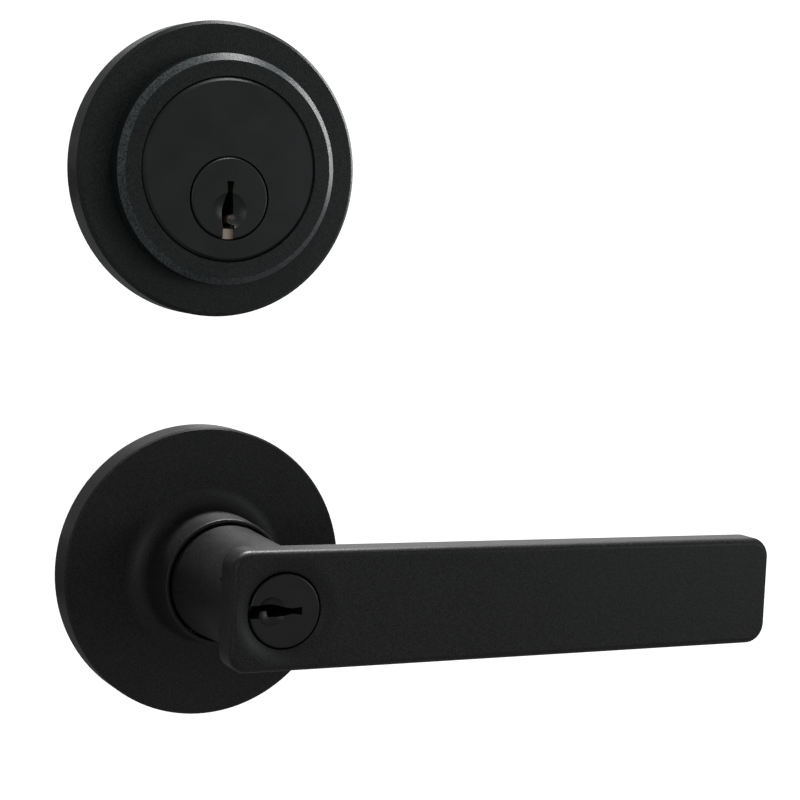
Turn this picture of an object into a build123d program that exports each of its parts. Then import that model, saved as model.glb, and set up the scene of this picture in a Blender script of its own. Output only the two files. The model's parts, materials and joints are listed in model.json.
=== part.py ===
"""Keyed lever handle lockset with its matching single-cylinder deadbolt, as fitted to one door.

Row frame, millimetres: the door's outside face is the plane y = 0 and its inside face is y = DOOR.
The outside trim stands in negative y. X runs along the door, from the latch edge (negative) towards
the hinge side, which is where both levers point. Z is up. The origin is the centre of the lower
cross bore on the door's outside face, which is also a point of the lever's turning axis.
The rest pose has both levers level, the spring latch out, the deadbolt drawn in and no key in place,
with the pin stacks drawn at the shear line, as the right key would lift them.
"""

import os
from math import cos, radians, sin

from build123d import *

# ---- door preparation
DOOR = 44.45
MID = DOOR / 2
BACKSET = 60.3
SPACING = 92.1  # lower cross bore to upper cross bore
SCREW_OFFSET = 21.5  # through screws, above and below the centre of each cross bore

# ---- round trim
ROSE_R = 33.35
ROSE_T = 7.7
ROSE_WALL = 1.4
COLLAR_R = 14.35
COLLAR_TOP = 21.6
COLLAR_BORE_R = 13.5
COLLAR_FLARE_R = 4.5  # hollow curve from the rose's face into its collar
CHASSIS_R = 31.6
CHASSIS_T = 3.0
SPIGOT_R = 26.6

# ---- lever
LEVER_FRONT = 56.5  # front face of the arm to the door
LEVER_LEFT = -12.2
LEVER_TIP = 122.0
ARM_T = 7.8
HUB_END_H, HUB_CORNER_R = 26.0, 4.0
TIP_END_H, TIP_CORNER_R = 24.8, 4.6
FRONT_EDGE_R, BACK_EDGE_R = 1.5, 1.4
SHANK_R = 12.95  # inside the collar, and slightly less where it meets the arm
SHANK_END_R = 12.1
SHANK_BACK = 15.0
BLEND_R = 4.0
DISH_R, DISH_DEPTH = 11.9, 1.0  # shallow hollow round the lever's plug
LEVER_TURN = 52.0  # degrees from level to the stop

# ---- drive through the door
SLEEVE_R = 10.5
SPINDLE = 7.6
SPINDLE_BORE_R = 2.9
BLADE_W, BLADE_T = 4.8, 1.3
RUN = 0.06  # radial running clearance

# ---- pin tumbler cylinders
PLUG_R = 6.35
PIN_R = 1.4
PIN_TOP = PLUG_R - 0.24  # flat end of each key pin, low enough for its rim to clear the bore
KEY_PIN_LOW = (0.9, 1.9, 0.6, 2.3, 1.3)  # lower end of each key pin above the plug's axis
LEVER_PLUG_HEAD_R = 7.95
LEVER_PLUG_HOLE_R = 8.35
LEVER_DRIVER_PIN = 1.6
LEVER_CHAMBER_TOP = 10.5
LEVER_PIN_Y = [-50.9 + 3.6 * i for i in range(5)]
DEADBOLT_PLUG_HEAD_R = 9.1
DEADBOLT_PLUG_HOLE_R = 9.45
DEADBOLT_PIN_Y = [-8.6 + 3.95 * i for i in range(5)]

# ---- deadbolt
TURN_Z = SPACING - 6.4  # the plug, tailpiece, crank and thumbturn turn about this height
FACE_R = 20.5
FACE_Y = -14.4
CRANK_R = 12.7 * 2**0.5  # swings 45 degrees each side of upright
THROW = 25.4
TAIL_W, TAIL_T = 6.0, 1.6

# ---- latches
EDGE_X = -BACKSET
PLATE_T = 2.4
PLATE_W, PLATE_H, PLATE_CORNER_R = 25.4, 57.2, 6.35
PLATE_HOLE_Z = 20.65
PLATE_HOLE_R = 2.3
BARREL_R, BARREL_WALL = 12.2, 1.2
CASE_END_X = -19.5
CASE_WALL = 1.2
CASE_R = 26.4  # clears the wall of the cross bore
RIVET_R = 1.3
LATCH_TRAVEL = 12.7
LATCH_ARM_R = 14.5
LATCH_ARM_ANGLE = LEVER_TURN / 2

LOW = (Align.CENTER, Align.CENTER, Align.MIN)
DOOR_MIDDLE = Plane(origin=(0, MID, 0), z_dir=(0, 1, 0))


def facing_out(y, z=0.0, x=0.0):
    """Plane at that depth whose normal looks out of the door's outside face, with +X right and +Z up."""
    return Plane(origin=(x, y, z), x_dir=(1, 0, 0), z_dir=(0, -1, 0))


def facing_edge(x, z=0.0, y=MID):
    """Plane at that x whose normal looks out of the door's latch edge; its own y is up."""
    return Plane(origin=(x, y, z), x_dir=(0, -1, 0), z_dir=(-1, 0, 0))


def turn_axis(z=0.0):
    return Axis((0, 0, z), (0, 1, 0))


def make_section(points, z=0.0):
    """Closed half section of (radius, y) points, ready to revolve about turn_axis(z)."""
    with BuildSketch(Plane.XY.offset(z)) as section:
        with BuildLine():
            Polyline(*points, close=True)
        make_face()
    return section.sketch


def upright(x, y, z):
    return Plane(origin=(x, y, z), x_dir=(1, 0, 0), z_dir=(0, 0, 1))


def along_x(x, y, z=0.0):
    return Plane(origin=(x, y, z), x_dir=(0, 1, 0), z_dir=(1, 0, 0))


def make_coil(radius, height, turns, wire_r):
    """Helical wire standing on the origin along +Z."""
    with BuildPart() as spring:
        with BuildLine() as path:
            Helix(pitch=height / turns, height=height, radius=radius)
        with BuildSketch(Plane(origin=path.line @ 0, z_dir=path.line % 0)):
            Circle(wire_r)
        sweep(path=path.line, is_frenet=True)
    return spring


# ---------------------------------------------------------------- pin tumbler cylinders


def make_keyway(front_y, rear_y, centre_z, up, head_r, mouth_depth):
    """Key slot of a plug, open through the head's rim to mouth_depth. up is the direction of the pins."""
    foot_drop, foot_left, foot_right = 6.8, -1.40, 1.35
    outline = [
        (-0.80, 3.85),
        (0.90, 3.85),
        (0.60, 1.6),
        (1.30, -1.6),
        (1.30, -3.5),
        (0.00, -3.9),
        (0.00, -5.5),
        (foot_right, -6.0),
        (foot_right, -foot_drop),
        (foot_left, -foot_drop),
        (foot_left, -2.6),
        (-0.55, 1.6),
    ]
    across = (1, 0, 0) if up == "z" else (0, 0, -1)
    mouth_h = head_r + 1 - foot_drop
    with BuildPart() as slot:
        with BuildSketch(Plane(origin=(0, rear_y, centre_z), x_dir=across, z_dir=(0, -1, 0))):
            with BuildLine():
                Polyline(*outline, close=True)
            make_face()
        extrude(amount=rear_y - front_y + 1)
        with BuildSketch(Plane(origin=(0, front_y + mouth_depth, centre_z), x_dir=across, z_dir=(0, -1, 0))):
            with Locations(((foot_left + foot_right) / 2, -foot_drop - mouth_h / 2)):
                Rectangle(foot_right - foot_left, mouth_h)
        extrude(amount=mouth_depth + 1)
    return slot


def pin_plane(y, centre_z, lift, up):
    """Where a pin starts: lift above the plug's axis, in the direction of the pins."""
    if up == "z":
        return upright(0, y, centre_z + lift)
    return Plane(origin=(lift, y, centre_z), x_dir=(0, 0, -1), z_dir=(1, 0, 0))


def make_pin_holes(rows, centre_z, low, high, up):
    with BuildPart() as holes:
        for y in rows:
            with Locations(pin_plane(y, centre_z, low, up)):
                Cylinder(PIN_R + 0.05, high - low, align=LOW)
    return holes


def make_plug(head_r, head_front, head_t, rear, rows, centre_z, up, dimple_r, dimple_drop, mouth_depth):
    """Plug with its wide head at the front, key slot, pin holes and the cross slot for the blade it turns."""
    body_front = head_front + head_t
    keyway = make_keyway(head_front, rear - 1.0, centre_z, up, head_r, mouth_depth)
    holes = make_pin_holes(rows, centre_z, 0.5, PLUG_R + 0.5, up)
    hollow_depth = 1.3
    sphere_r = (dimple_r**2 + hollow_depth**2) / (2 * hollow_depth)
    sphere_y = head_front - sphere_r + hollow_depth
    dimple = (0, sphere_y, centre_z - dimple_drop) if up == "z" else (-dimple_drop, sphere_y, centre_z)
    blade_slot = (TAIL_T + 0.15, 4.6, TAIL_W + 0.2) if up == "z" else (BLADE_W + 0.2, 4.6, BLADE_T + 0.12)
    clip_groove = [(4.2, rear + 0.05), (6, rear + 0.05), (6, rear + 0.95), (4.2, rear + 0.95)]
    with BuildPart() as plug:
        with Locations(facing_out(body_front, centre_z)):
            Cylinder(head_r, head_t, align=LOW)
        fillet(plug.faces().sort_by(Axis.Y)[0].edges(), 0.45)
        with Locations(facing_out(rear, centre_z)):
            Cylinder(PLUG_R, rear - body_front, align=LOW)
        with Locations(facing_out(rear + 2.3, centre_z)):
            Cylinder(5.0, 2.3, align=LOW)
        # round guide hollow that leads the key's tip into the slot
        with Locations(dimple):
            Sphere(sphere_r, mode=Mode.SUBTRACT)
        add(keyway.part, mode=Mode.SUBTRACT)
        add(holes.part, mode=Mode.SUBTRACT)
        with Locations((0, rear + 2.3, centre_z)):
            Box(*blade_slot, mode=Mode.SUBTRACT)
        revolve(make_section(clip_groove, centre_z), axis=turn_axis(centre_z), mode=Mode.SUBTRACT)
    return plug


def make_key_pins(rows, centre_z, up):
    with BuildPart() as pins:
        for y, low in zip(rows, KEY_PIN_LOW):
            with Locations(pin_plane(y, centre_z, low + 0.8, up)):
                Cylinder(PIN_R, PIN_TOP - low - 0.8, align=LOW)
            with Locations(pin_plane(y, centre_z, low, up)):
                Cone(0.5, PIN_R, 0.8, align=LOW)
    return pins


def make_driver_pins(rows, centre_z, length, up):
    with BuildPart() as pins:
        for y in rows:
            with Locations(pin_plane(y, centre_z, PLUG_R + 0.1, up)):
                Cylinder(PIN_R, length, align=LOW)
    return pins


def make_pin_springs(rows, centre_z, low, high, up):
    wire_r = 0.16
    one = make_coil(PIN_R - 0.2 - wire_r, high - low - 2 * wire_r, 4, wire_r)
    with BuildPart() as springs:
        for y in rows:
            with Locations(pin_plane(y, centre_z, low + wire_r, up)):
                add(one.part)
    return springs


def make_clip(rear, centre_z, outer_r, groove_r, mouth):
    """Open ring snapped into a groove behind whatever it retains."""
    with BuildPart() as clip:
        with BuildSketch(facing_out(rear + 0.9, centre_z)):
            Circle(outer_r)
            Circle(groove_r, mode=Mode.SUBTRACT)
            with Locations((0, -outer_r)):
                Rectangle(mouth, 2 * outer_r, mode=Mode.SUBTRACT)
        extrude(amount=0.8)
    return clip


# ---------------------------------------------------------------- lever side, built outside the door


def make_arm_outline():
    """Front view of the arm: a long plate, a little lower at its tip, with rounded corners."""
    hub_h, tip_h = HUB_END_H / 2, TIP_END_H / 2
    with BuildSketch(facing_out(-(LEVER_FRONT - ARM_T))) as outline:
        with BuildLine():
            Polyline(
                (LEVER_LEFT, -hub_h),
                (LEVER_TIP, -tip_h),
                (LEVER_TIP, tip_h),
                (LEVER_LEFT, hub_h),
                close=True,
            )
        make_face()
        fillet(outline.vertices().group_by(Axis.X)[0], HUB_CORNER_R)
        fillet(outline.vertices().group_by(Axis.X)[-1], TIP_CORNER_R)
    return outline


def make_lever_blank():
    """Arm and shank as one casting, with no bores but the socket of its drive sleeve."""
    arm_back = -(LEVER_FRONT - ARM_T)
    neck = arm_back + BLEND_R
    outline = make_arm_outline()
    with BuildSketch(facing_out(arm_back)) as flat_back:
        add(outline.sketch)
        offset(amount=-BACK_EDGE_R, mode=Mode.REPLACE)
    with BuildPart() as flare:
        with BuildSketch(Plane.XY):
            with BuildLine():
                Line((0, neck), (SHANK_END_R, neck))
                RadiusArc((SHANK_END_R, neck), (SHANK_END_R + BLEND_R, arm_back), -BLEND_R)
                Polyline(
                    (SHANK_END_R + BLEND_R, arm_back),
                    (SHANK_END_R + BLEND_R, arm_back - 1),
                    (0, arm_back - 1),
                    (0, neck),
                )
            make_face()
        revolve(axis=turn_axis())
        extrude(flat_back.sketch, amount=BLEND_R * 2, both=True, mode=Mode.INTERSECT)
    shank_front = arm_back - BACK_EDGE_R
    shank = [
        (0, -SHANK_BACK),
        (SHANK_R, -SHANK_BACK),
        (SHANK_R, -COLLAR_TOP),
        (SHANK_END_R, neck),
        (SHANK_END_R, shank_front),
        (0, shank_front),
    ]
    with BuildPart() as blank:
        extrude(outline.sketch, amount=ARM_T)
        fillet(blank.faces().sort_by(Axis.Y)[0].edges(), FRONT_EDGE_R)
        fillet(blank.faces().sort_by(Axis.Y)[-1].edges(), BACK_EDGE_R)
        add(flare.part)
        revolve(make_section(shank), axis=turn_axis())
        with Locations(facing_out(-SHANK_BACK)):
            Cylinder(SLEEVE_R + RUN, 18.5, align=LOW, mode=Mode.SUBTRACT)
    return blank


def make_dish():
    """What the shallow dish takes away: tangent to the arm's front face and deepest at the plug."""
    width = DISH_R - LEVER_PLUG_HOLE_R
    curve_r = (width**2 + DISH_DEPTH**2) / (2 * DISH_DEPTH)
    rim = (DISH_R, -LEVER_FRONT)
    floor = (LEVER_PLUG_HOLE_R, DISH_DEPTH - LEVER_FRONT)
    with BuildPart() as dish:
        with BuildSketch(Plane.XY):
            with BuildLine():
                RadiusArc(rim, floor, curve_r)
                Polyline(floor, (0, floor[1]), (0, rim[1] - 1), (DISH_R, rim[1] - 1), rim)
            make_face()
        revolve(axis=turn_axis())
    return dish


def make_outside_lever():
    blank = make_lever_blank()
    dish = make_dish()
    chamber_reach = LEVER_CHAMBER_TOP + 0.3
    with BuildPart() as lever:
        add(blank.part)
        # pocket of the key cylinder, with a slot for its pin chambers, behind the front wall
        with Locations(facing_out(-33.4)):
            Cylinder(9.3, 19.6, align=LOW, mode=Mode.SUBTRACT)
        with Locations((chamber_reach / 2, -43.45, 0)):
            Box(chamber_reach, 19.1, 6.9, mode=Mode.SUBTRACT)
        with Locations(facing_out(-50)):
            Cylinder(LEVER_PLUG_HOLE_R, 8, align=LOW, mode=Mode.SUBTRACT)
        add(dish.part, mode=Mode.SUBTRACT)
        # pocket of the catch that holds the lever on its sleeve, and the hole for its release pin
        with Locations((0, -27, -11.0)):
            Box(4.2, 4.2, 2.2, mode=Mode.SUBTRACT)
        with Locations(upright(0, -27, -14)):
            Cylinder(1.0, 4, align=LOW, mode=Mode.SUBTRACT)
    return lever


def make_inside_lever():
    blank = make_lever_blank()
    with BuildPart() as outside:
        add(blank.part)
        # hollow behind the front wall, and the hole of the turn button
        with Locations(facing_out(-33.4)):
            Cylinder(8.6, 19.0, align=LOW, mode=Mode.SUBTRACT)
        with Locations(facing_out(-50)):
            Cylinder(6.2, 8, align=LOW, mode=Mode.SUBTRACT)
        # tapped hole of the set screw
        with Locations(upright(0, -27, -14)):
            Cylinder(2.03, 5, align=LOW, mode=Mode.SUBTRACT)
    with BuildPart() as lever:
        mirror(outside.part, about=DOOR_MIDDLE)
    return lever


def make_set_screw():
    with BuildPart() as outside:
        with Locations(upright(0, -27, -12.6)):
            Cylinder(2.0, 4.6, align=LOW)
        with BuildSketch(upright(0, -27, -12.6)):
            RegularPolygon(1.0, 6)
        extrude(amount=2, mode=Mode.SUBTRACT)
    with BuildPart() as screw:
        mirror(outside.part, about=DOOR_MIDDLE)
    return screw


def make_rose():
    """Dished round cover with the collar that the shank turns in."""
    draft, rim_bevel = 0.5, 0.4
    inner_r = ROSE_R - ROSE_WALL
    base_r = COLLAR_R + draft
    with BuildPart() as rose:
        with BuildSketch(Plane.XY):
            with BuildLine():
                rim = Polyline(
                    (inner_r, 0),
                    (ROSE_R, 0),
                    (ROSE_R, rim_bevel - ROSE_T),
                    (ROSE_R - rim_bevel, -ROSE_T),
                    (base_r + COLLAR_FLARE_R, -ROSE_T),
                )
                neck = RadiusArc(rim @ 1, (base_r, -ROSE_T - COLLAR_FLARE_R), -COLLAR_FLARE_R)
                shoulder = Polyline(neck @ 1, (COLLAR_R, rim_bevel - COLLAR_TOP))
                lip = RadiusArc(shoulder @ 1, (COLLAR_R - rim_bevel, -COLLAR_TOP), rim_bevel)
                Polyline(
                    lip @ 1,
                    (COLLAR_BORE_R + 0.12, -COLLAR_TOP),
                    (COLLAR_BORE_R, 0.12 - COLLAR_TOP),
                    (COLLAR_BORE_R, ROSE_WALL - ROSE_T),
                    (inner_r, ROSE_WALL - ROSE_T),
                    (inner_r, 0),
                )
            make_face()
        revolve(axis=turn_axis())
    return rose


def make_chassis(outside):
    """Cast base under the rose: a plate on the door, a spigot in the cross bore and a sleeve bearing."""
    with BuildPart() as chassis:
        section = [
            (SLEEVE_R + RUN, -CHASSIS_T),
            (CHASSIS_R, -CHASSIS_T),
            (CHASSIS_R, 0),
            (SPIGOT_R, 0),
            (SPIGOT_R, 5),
            (24, 5),
            (24, 0),
            (SLEEVE_R + RUN, 0),
        ]
        revolve(make_section(section), axis=turn_axis())
        # two lugs that hold the outer leg of the return spring
        with Locations((-21.6, -4.4, 1.7), (-21.6, -4.4, -1.7)):
            Box(3.4, 2.9, 2.0)
        if outside:
            with Locations(facing_out(8.5, SCREW_OFFSET), facing_out(8.5, -SCREW_OFFSET)):
                Cylinder(3.9, 8.6, align=LOW)
            with Locations(facing_out(9, SCREW_OFFSET), facing_out(9, -SCREW_OFFSET)):
                Cylinder(2.03, 9.5, align=LOW, mode=Mode.SUBTRACT)
        else:
            with Locations(facing_out(9, SCREW_OFFSET), facing_out(9, -SCREW_OFFSET)):
                Cylinder(2.3, 20, align=LOW, mode=Mode.SUBTRACT)
    return chassis


def make_drive_sleeve():
    """Tube that carries a lever: it turns in the chassis and has the spindle's square socket."""
    with BuildPart() as sleeve:
        section = [
            (0, -8),
            (8.7, -8),
            (8.7, -33),
            (SLEEVE_R, -33),
            (SLEEVE_R, -6.1),
            (14.2, -6.1),
            (14.2, -3.15),
            (SLEEVE_R, -3.15),
            (SLEEVE_R, 0.1),
            (9.6, 0.1),
            (9.6, 1.1),
            (SLEEVE_R, 1.1),
            (SLEEVE_R, 2.2),
            (0, 2.2),
        ]
        revolve(make_section(section), axis=turn_axis())
        with Locations((0, -3, 0)):
            Box(SPINDLE + 0.1, 12, SPINDLE + 0.1, mode=Mode.SUBTRACT)
        # slot for the inner leg of the return spring
        with Locations((13.5, -4.6, 0)):
            Box(3.0, 3.2, 1.7, mode=Mode.SUBTRACT)
        # slot for the lever's catch or set screw
        with Locations((0, -27, -9.8)):
            Box(4.2, 4.2, 3.0, mode=Mode.SUBTRACT)
    return sleeve


def make_return_spring():
    """Torsion spring in the rose: the inner leg sits in the sleeve, the outer one between the lugs."""
    coil_r, wire_r, height, start_y = 16.4, 0.5, 1.95, -3.65
    wire = make_coil(coil_r, height, 1.5, wire_r)
    with BuildPart() as spring:
        with Locations(facing_out(start_y)):
            add(wire.part)
        with Locations(along_x(12.4, start_y)):
            Cylinder(wire_r, coil_r - 12.4, align=LOW)
        with Locations(along_x(-23.0, start_y - height)):
            Cylinder(wire_r, 23.0 - coil_r, align=LOW)
    return spring


def make_collar_bearings():
    section = [
        (SLEEVE_R + RUN, -14.6),
        (COLLAR_BORE_R - 0.05, -14.6),
        (COLLAR_BORE_R - 0.05, -6.35),
        (SLEEVE_R + RUN, -6.35),
    ]
    with BuildPart() as outside:
        revolve(make_section(section), axis=turn_axis())
    with BuildPart() as bearings:
        add(outside.part)
        mirror(outside.part, about=DOOR_MIDDLE)
    return bearings


def make_retaining_rings():
    outside = make_clip(0.2, 0.0, 12.6, 9.65, 12)
    with BuildPart() as rings:
        add(outside.part)
        mirror(outside.part, about=DOOR_MIDDLE)
    return rings


def make_catch():
    with BuildPart() as catch:
        with Locations((0, -27, -10.4)):
            Box(4.0, 4.0, 3.0)
        fillet(catch.edges().filter_by(Axis.X), 0.4)
    return catch


def make_spindle():
    with BuildPart() as spindle:
        with Locations((0, MID, 0)):
            Box(SPINDLE, DOOR + 15.6, SPINDLE)
        with Locations(facing_out(DOOR + 10)):
            Cylinder(SPINDLE_BORE_R, DOOR + 20, align=LOW, mode=Mode.SUBTRACT)
        chamfer(spindle.edges().filter_by(Axis.Y).sort_by_distance((0, MID, 0))[-4:], 0.4)
    return spindle


def make_blade():
    front, back = -32.6, DOOR + 44
    with BuildPart() as blade:
        with Locations((0, (front + back) / 2, 0)):
            Box(BLADE_W, back - front, BLADE_T)
    return blade


def make_lever_cylinder_shell():
    front, rear = -52.9, -34.3
    holes = make_pin_holes(LEVER_PIN_Y, 0, PLUG_R - 0.5, 12, "x")
    with BuildPart() as shell:
        with Locations(facing_out(rear)):
            Cylinder(9.2, rear - front, align=LOW)
        with Locations((LEVER_CHAMBER_TOP / 2, (front + rear) / 2, 0)):
            Box(LEVER_CHAMBER_TOP, rear - front, 6.4)
        with Locations(facing_out(rear + 1)):
            Cylinder(PLUG_R + RUN, rear - front + 2, align=LOW, mode=Mode.SUBTRACT)
        add(holes.part, mode=Mode.SUBTRACT)
        with Locations((LEVER_CHAMBER_TOP - 0.3, -43.7, 0)):
            Box(0.62, 18.2, 4.0, mode=Mode.SUBTRACT)
    return shell


def make_lever_chamber_cap():
    with BuildPart() as cap:
        with Locations((LEVER_CHAMBER_TOP - 0.3, -43.7, 0)):
            Box(0.58, 18.0, 3.9)
    return cap


def make_turn_button():
    with BuildPart() as outside:
        with Locations(facing_out(-41)):
            Cylinder(3.4, 11.2, align=LOW)
        with Locations(facing_out(-50.9)):
            Cylinder(7.8, 1.3, align=LOW)
        with Locations(facing_out(-52.2)):
            Cylinder(6.1, LEVER_FRONT + 1.0 - 52.2, align=LOW)
        with BuildSketch(facing_out(-LEVER_FRONT - 1.0)):
            SlotOverall(11.0, 3.6, rotation=90)
        extrude(amount=4.4)
        fillet(outside.faces().sort_by(Axis.Y)[0].edges(), 0.8)
        with Locations((0, -42, 0)):
            Box(BLADE_W + 0.1, 6, BLADE_T + 0.1, mode=Mode.SUBTRACT)
    with BuildPart() as button:
        mirror(outside.part, about=DOOR_MIDDLE)
    return button


def make_through_screws():
    """Four equal pan head screws that clamp the inside trim to the outside trim."""
    head_y = DOOR + CHASSIS_T + 0.05
    with BuildPart() as screws:
        for bore_z in (0, SPACING):
            for z in (bore_z + SCREW_OFFSET, bore_z - SCREW_OFFSET):
                with Locations(facing_out(head_y, z)):
                    Cylinder(2.0, head_y - 0.6, align=LOW)
                with Locations(facing_out(head_y + 2.3, z)):
                    Cylinder(3.7, 2.3, align=LOW)
                with Locations((0, head_y + 2.3, z)):
                    Box(4.2, 2.4, 0.9, mode=Mode.SUBTRACT)
                    Box(0.9, 2.4, 4.2, mode=Mode.SUBTRACT)
    return screws


# ---------------------------------------------------------------- spring latch


def make_faceplate(centre_z, opening):
    """Rounded plate let into the door's edge. opening is the sketch of the hole for the bolt."""
    with BuildPart() as plate:
        with BuildSketch(facing_edge(EDGE_X + PLATE_T, centre_z)):
            RectangleRounded(PLATE_W, PLATE_H, PLATE_CORNER_R)
            add(opening.sketch, mode=Mode.SUBTRACT)
        extrude(amount=PLATE_T)
        with Locations(facing_edge(EDGE_X, centre_z)):
            with Locations((0, PLATE_HOLE_Z), (0, -PLATE_HOLE_Z)):
                CounterSinkHole(PLATE_HOLE_R, PLATE_HOLE_R + 1.4, counter_sink_angle=82)
    return plate


def make_barrel(centre_z):
    with BuildPart() as barrel:
        with BuildSketch(facing_edge(CASE_END_X, centre_z)):
            Circle(BARREL_R)
            Circle(BARREL_R - BARREL_WALL, mode=Mode.SUBTRACT)
        extrude(amount=CASE_END_X - EDGE_X - PLATE_T)
    return barrel


def make_case_outline(y, case):
    """Side view of a case that fits inside the cross bore, sketched on the plane at that y."""
    middle = ((CASE_END_X + case["right"]) / 2, (case["bottom"] + case["top"]) / 2)
    with BuildSketch(facing_out(y, case["centre_z"])) as outline:
        Circle(CASE_R)
        with Locations(middle):
            Rectangle(case["right"] - CASE_END_X, case["top"] - case["bottom"], mode=Mode.INTERSECT)
        with Locations(*case["rivets"]):
            Circle(RIVET_R + 0.05, mode=Mode.SUBTRACT)
    return outline


def make_case(case):
    """Tray of a mechanism, with the round flange that plugs the barrel's end and bears the springs."""
    inner_back = case["back"] - CASE_WALL
    height = case["top"] - case["bottom"]
    outline = make_case_outline(inner_back, case)
    with BuildPart() as tray:
        extrude(outline.sketch, amount=inner_back - case["front"])
        with BuildSketch(facing_out(case["back"], case["centre_z"])):
            with Locations(((CASE_END_X + case["right"]) / 2 - 2, (case["bottom"] + case["top"]) / 2)):
                Rectangle(case["right"] - CASE_END_X - 2 * CASE_WALL + 4, height - 2 * CASE_WALL)
            Circle(CASE_R - CASE_WALL, mode=Mode.INTERSECT)
        extrude(amount=case["back"] - case["front"] - CASE_WALL, mode=Mode.SUBTRACT)
        with Locations(facing_out(case["front"] + 2, case["hub_z"])):
            Cylinder(case["hub_r"] + RUN, 4, align=LOW, mode=Mode.SUBTRACT)
        with BuildSketch(facing_edge(CASE_END_X, case["centre_z"])):
            Circle(BARREL_R - BARREL_WALL)
            with Locations((0, sum(case["window"]) / 2)):
                Rectangle(5.0, case["window"][1] - case["window"][0], mode=Mode.SUBTRACT)
        extrude(amount=CASE_WALL)
    return tray


def make_case_cover(case):
    outline = make_case_outline(case["back"], case)
    with BuildPart() as cover:
        extrude(outline.sketch, amount=CASE_WALL - 0.02)
        with Locations(facing_out(case["back"] + 1, case["hub_z"])):
            Cylinder(case["hub_r"] + RUN, 4, align=LOW, mode=Mode.SUBTRACT)
    return cover


LATCH_CASE = {
    "centre_z": 0.0,
    "front": MID - 6.5,
    "back": MID + 6.5,
    "right": 14.5,
    "bottom": -9.5,
    "top": 18.4,
    "hub_z": 0.0,
    "hub_r": 6.2,
    "window": (0.5, 12.0),
    "rivets": [(10.9, -6.2), (-14.0, -6.2)],
}
LATCH_REST_X = EDGE_X - LATCH_TRAVEL
SPRING_END_X = CASE_END_X - CASE_WALL - 0.1
LATCH_BACK_X = LATCH_REST_X + 25


def make_latch_opening():
    with BuildSketch() as opening:
        Rectangle(12.3, 16.4)
        with Locations((-8.2, 0)):
            Rectangle(4.5, 7.4)
    return opening


def make_latch_bolt():
    """Spring bolt: flat towards the inside of the door, sloped towards the outside."""
    with BuildPart() as bolt:
        with Locations(((LATCH_REST_X + LATCH_BACK_X) / 2, MID, 0)):
            Box(LATCH_BACK_X - LATCH_REST_X, 12, 16)
        fillet(bolt.edges().filter_by(Axis.X), 1.0)
        with BuildSketch(Plane.XY):
            with BuildLine():
                Polyline(
                    (LATCH_REST_X - 1, MID - 7),
                    (LATCH_REST_X + 11.2, MID - 7),
                    (LATCH_REST_X + 0.0, MID + 4.4),
                    (LATCH_REST_X - 1, MID + 4.4),
                    close=True,
                )
            make_face()
        extrude(amount=10, both=True, mode=Mode.SUBTRACT)
        with Locations((LATCH_BACK_X, MID, 5)):
            Box(8, 2.6, 8.2, mode=Mode.SUBTRACT)
    return bolt


def make_latch_tail():
    """Plate behind the bolt whose fork the hub's peg pulls."""
    peg_x = -LATCH_ARM_R * sin(radians(LATCH_ARM_ANGLE))
    start, step, half = LATCH_BACK_X - 4, -20.4, 2.3
    with BuildPart() as tail:
        with BuildSketch(facing_out(MID + 1.25)):
            with BuildLine():
                Polyline(
                    (start, 1.0),
                    (step, 1.0),
                    (step, 7.5),
                    (peg_x + half + 2.2, 7.5),
                    (peg_x + half + 2.2, 16.6),
                    (peg_x + half, 16.6),
                    (peg_x + half, 10.6),
                    (peg_x - half, 10.6),
                    (peg_x - half, 16.6),
                    (peg_x - half - 2.2, 16.6),
                    (peg_x - half - 2.2, 12.4),
                    (CASE_END_X + 0.8, 12.4),
                    (CASE_END_X + 0.8, 10.2),
                    (start, 10.2),
                    close=True,
                )
            make_face()
        extrude(amount=2.5)
    return tail


def make_latch_hub():
    """Square-holed hub with one arm and its peg, leaning back by half the lever's travel at rest."""
    peg_x = -LATCH_ARM_R * sin(radians(LATCH_ARM_ANGLE))
    peg_z = LATCH_ARM_R * cos(radians(LATCH_ARM_ANGLE))
    with BuildPart() as hub:
        with Locations(facing_out(LATCH_CASE["back"])):
            Cylinder(LATCH_CASE["hub_r"], 13.0, align=LOW)
        with Locations(facing_out(MID + 5.2)):
            Cylinder(6.9, 10.4, align=LOW)
        with BuildSketch(facing_out(MID + 4.2)):
            with Locations((peg_x / 2, peg_z / 2)):
                SlotCenterToCenter(LATCH_ARM_R, 4.8, rotation=90 + LATCH_ARM_ANGLE)
        extrude(amount=2.6)
        with Locations(facing_out(MID + 2, peg_z, peg_x)):
            Cylinder(2.0, 3.6, align=LOW)
        with Locations((0, MID, 0)):
            Box(SPINDLE + 0.1, 20, SPINDLE + 0.1, mode=Mode.SUBTRACT)
    return hub


def make_plunger():
    front, back = LATCH_REST_X + 0.8, LATCH_REST_X + 27
    with BuildPart() as plunger:
        with Locations(((front + back) / 2, MID + 8.15, 0)):
            Box(back - front, 3.7, 7.0)
        chamfer(plunger.faces().sort_by(Axis.X)[0].edges().filter_by(Axis.Z), 1.2)
        fillet(plunger.edges().filter_by(Axis.X), 0.6)
    return plunger


def make_bolt_spring(start_x, end_x, y, z, coil_r, turns, wire_r):
    wire = make_coil(coil_r, end_x - start_x - 2 * wire_r, turns, wire_r)
    with BuildPart() as spring:
        with Locations(along_x(start_x + wire_r, y, z)):
            add(wire.part)
    return spring


# ---------------------------------------------------------------- deadbolt


def make_deadbolt_rose():
    section = [
        (ROSE_R - ROSE_WALL, 0),
        (ROSE_R, 0),
        (ROSE_R, 0.8 - ROSE_T),
        (ROSE_R - 0.8, -ROSE_T),
        (19.3, -ROSE_T),
        (19.3, ROSE_WALL - ROSE_T),
        (ROSE_R - ROSE_WALL, ROSE_WALL - ROSE_T),
    ]
    with BuildPart() as rose:
        revolve(make_section(section, SPACING), axis=turn_axis(SPACING))
    return rose


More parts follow.
